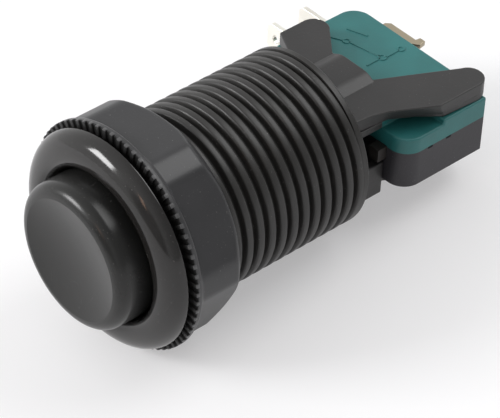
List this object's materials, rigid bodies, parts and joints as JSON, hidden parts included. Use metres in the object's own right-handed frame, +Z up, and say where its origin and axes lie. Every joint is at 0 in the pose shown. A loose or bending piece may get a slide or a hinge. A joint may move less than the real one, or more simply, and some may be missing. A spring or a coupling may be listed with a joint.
{
  "type": "panel push button switch",
  "caption": "Round black panel push button with a threaded barrel, ring nut and a side-held snap-action switch with a green cover.",
  "frame": {"origin": "centre of the bezel's underside, the ring that bears on the front of the panel", "axes": "+Y from the plunger along the barrel to the switch, +Z up through the switch's green cover, +X toward the long arm of the fork; the part is stored lying as in the picture"},
  "size_m": [0.0393, 0.0731, 0.035],
  "materials": {
    "housing_black": "glossy bezel, satin barrel and fork",
    "nut_black": "satin moulded",
    "plunger_black": "smooth satin gloss",
    "spring_steel": "drawn wire",
    "base_grey": "matte moulded",
    "cover_green": "matte moulded, blue-green",
    "button_plastic": "smooth",
    "terminal_brass": "plain",
    "terminal_plated": "bright plated",
    "blade_copper": "rolled strip",
    "contact_silver": "bright"
  },
  "bodies": {
    "base": {"housing": "housing_black", "switch_base": "base_grey", "switch_cover": "cover_green", "common_terminal": "terminal_brass", "normally_open_terminal": "terminal_plated", "normally_closed_terminal": "terminal_plated", "open_contact": "contact_silver", "closed_contact": "contact_silver", "return_spring": "spring_steel"},
    "nut": {"mounting_nut": "nut_black"},
    "plunger": {"plunger": "plunger_black"},
    "button": {"switch_button": "button_plastic"},
    "blade": {"moving_blade": "blade_copper", "snap_spring": "blade_copper", "moving_contact": "contact_silver"}
  },
  "joints": [
    {"name": "plunger_press", "type": "slide", "parent": "base", "child": "plunger", "axis": [0, 1, 0], "range_m": [0, 0.003], "stiffness_N_per_m": 150, "springref_m": -0.006, "deforming": ["return_spring"]},
    {"name": "button_press", "type": "slide", "parent": "base", "child": "button", "axis": [0, 1, 0], "range_m": [0, 0.0008]},
    {"name": "blade_turn", "type": "hinge", "parent": "base", "child": "blade", "pos_m": [0.0116, 0.05225, -0.0004], "axis": [0, 0, -1], "range_deg": [0, 2.1]},
    {"name": "nut_turn", "type": "hinge", "parent": "base", "child": "nut", "pos_m": [0, 0.0055, 0], "axis": [0, 1, 0], "continuous": true}
  ],
  "couplings": [
    {"joint": "button_press", "follows": "plunger_press", "ratio": 0.26666},
    {"joint": "blade_turn", "follows": "plunger_press", "rad_per_m": 12.2}
  ]
}
